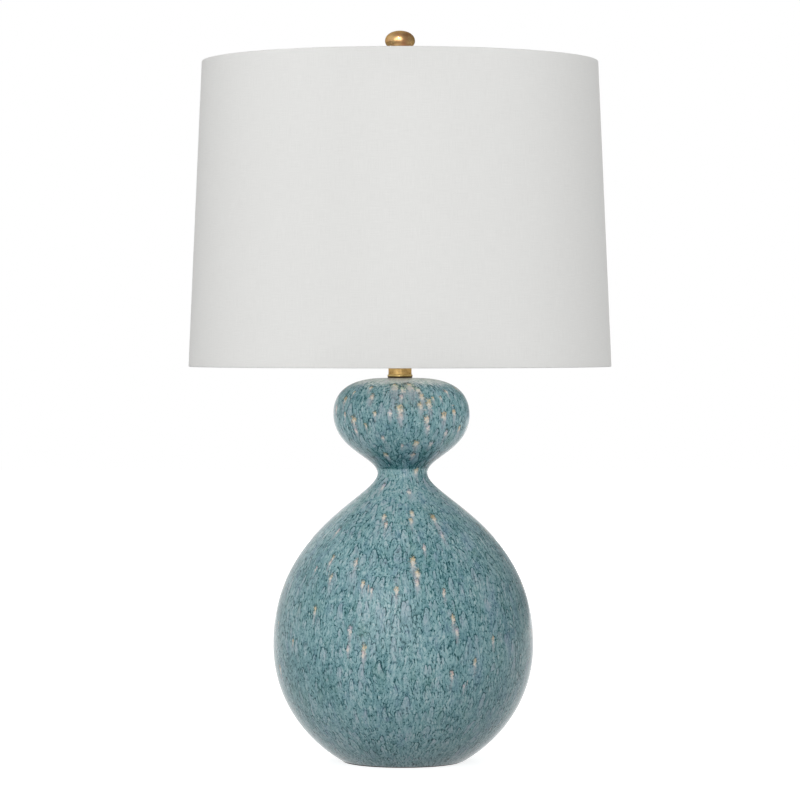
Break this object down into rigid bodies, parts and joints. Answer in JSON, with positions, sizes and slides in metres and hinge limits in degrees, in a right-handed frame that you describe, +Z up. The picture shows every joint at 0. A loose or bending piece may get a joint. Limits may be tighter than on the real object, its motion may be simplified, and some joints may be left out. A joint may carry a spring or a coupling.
{
  "type": "table lamp",
  "caption": "Table lamp with a glazed double-gourd ceramic vessel, a short brass neck, a linen drum shade on a harp and a gilt egg finial.",
  "frame": {"origin": "centre of the felt pad's plane on the table, on the axis of the rod and the shade", "axes": "+Z up along the rod, +X to the right of the picture, -Y towards its camera; the cord bushing points along +Y"},
  "size_m": [0.4319, 0.432, 0.747],
  "materials": {
    "teal_glaze": "glossy reactive glaze, teal with speckled drips and cream spots",
    "black_felt": "pressed felt",
    "brown_plastic": "moulded nylon",
    "plated_steel": "zinc plated",
    "dark_rubber": "thin black gasket",
    "antique_brass": "antique brass",
    "fibre_liner": "vulcanised fibre",
    "black_phenolic": "moulded phenolic",
    "plain_brass": "plain turned brass",
    "bright_aluminium": "bright rolled sheet",
    "solder": "soldered tip",
    "black_glass": "black vitrite",
    "frosted_glass": "soft white frosted",
    "clear_glass": "clear glass",
    "tungsten": "fine wire",
    "white_wire": "white lacquered steel wire",
    "white_styrene": "white backing sheet",
    "off_white_linen": "fine plain weave, laminated",
    "gold_leaf": "antique gold leaf over red bole"
  },
  "bodies": {
    "base": {"vessel": "teal_glaze", "felt_pad": "black_felt", "cord_bushing": "brown_plastic", "base_plate": "plated_steel", "bottom_lock_washer": "plated_steel", "bottom_hex_nut": "plated_steel", "lamp_rod": "plated_steel", "neck_gasket": "dark_rubber", "neck_ring": "antique_brass", "neck_tube": "antique_brass", "harp_saddle": "antique_brass", "socket_lock_nut": "plated_steel", "socket_cap": "antique_brass", "socket_set_screw": "plated_steel", "socket_shell": "antique_brass", "socket_liner": "fibre_liner", "socket_body": "black_phenolic", "socket_terminal_screws": "plain_brass", "socket_screw_shell": "bright_aluminium", "socket_centre_contact": "plain_brass"},
    "switch": {"switch_spindle": "plain_brass", "switch_knob": "black_phenolic"},
    "bulb_tip": {"bulb_tip": "solder"},
    "bulb": {"bulb_insulator": "black_glass", "bulb_screw_cap": "bright_aluminium", "bulb_glass": "frosted_glass", "bulb_glass_mount": "clear_glass", "bulb_filament": "tungsten"},
    "harp": {"harp_wire": "antique_brass", "harp_end_left": "antique_brass", "harp_end_right": "antique_brass"},
    "sleeve_left": {"harp_sleeve_left": "antique_brass"},
    "sleeve_right": {"harp_sleeve_right": "antique_brass"},
    "swivel_stud": {"harp_stud": "plain_brass"},
    "shade": {"shade_top_ring": "white_wire", "shade_bottom_ring": "white_wire", "shade_backing": "white_styrene", "shade_linen": "off_white_linen", "spider_hub": "white_wire", "spider_arm_rear": "white_wire", "spider_arm_left": "white_wire", "spider_arm_right": "white_wire"},
    "finial_insert": {"finial_insert": "plain_brass"},
    "finial": {"finial_collar": "gold_leaf", "finial_egg": "gold_leaf"}
  },
  "joints": [
    {"name": "switch_turn", "type": "hinge", "parent": "base", "child": "switch", "pos_m": [0, -0.0269, 0.4642], "axis": [0, -1, 0], "continuous": true},
    {"name": "bulb_rise", "type": "slide", "parent": "base", "child": "bulb_tip", "axis": [0, 0, 1], "range_m": [0, 0.0146]},
    {"name": "bulb_unscrew", "type": "hinge", "parent": "bulb_tip", "child": "bulb", "pos_m": [0, 0, 0.4725], "axis": [0, 0, 1], "range_deg": [0, 1440]},
    {"name": "harp_lift", "type": "slide", "parent": "base", "child": "harp", "axis": [0, 0, 1], "range_m": [0, 0.018]},
    {"name": "sleeve_left_slide", "type": "slide", "parent": "harp", "child": "sleeve_left", "axis": [0, 0, 1], "range_m": [0, 0.014]},
    {"name": "sleeve_right_slide", "type": "slide", "parent": "harp", "child": "sleeve_right", "axis": [0, 0, 1], "range_m": [0, 0.014]},
    {"name": "shade_swivel", "type": "hinge", "parent": "harp", "child": "swivel_stud", "pos_m": [0, 0, 0.7013], "axis": [0, 0, 1], "continuous": true},
    {"name": "shade_lift", "type": "slide", "parent": "swivel_stud", "child": "shade", "axis": [0, 0, 1], "range_m": [0, 0.013]},
    {"name": "finial_rise", "type": "slide", "parent": "shade", "child": "finial_insert", "axis": [0, 0, 1], "range_m": [0, 0.0086]},
    {"name": "finial_unscrew", "type": "hinge", "parent": "finial_insert", "child": "finial", "pos_m": [0, 0, 0.7085], "axis": [0, 0, 1], "range_deg": [0, 3240]}
  ],
  "couplings": [
    {"joint": "bulb_rise", "follows": "bulb_unscrew", "m_per_rad": 0.00057751},
    {"joint": "finial_rise", "follows": "finial_unscrew", "m_per_rad": 0.00014972}
  ]
}
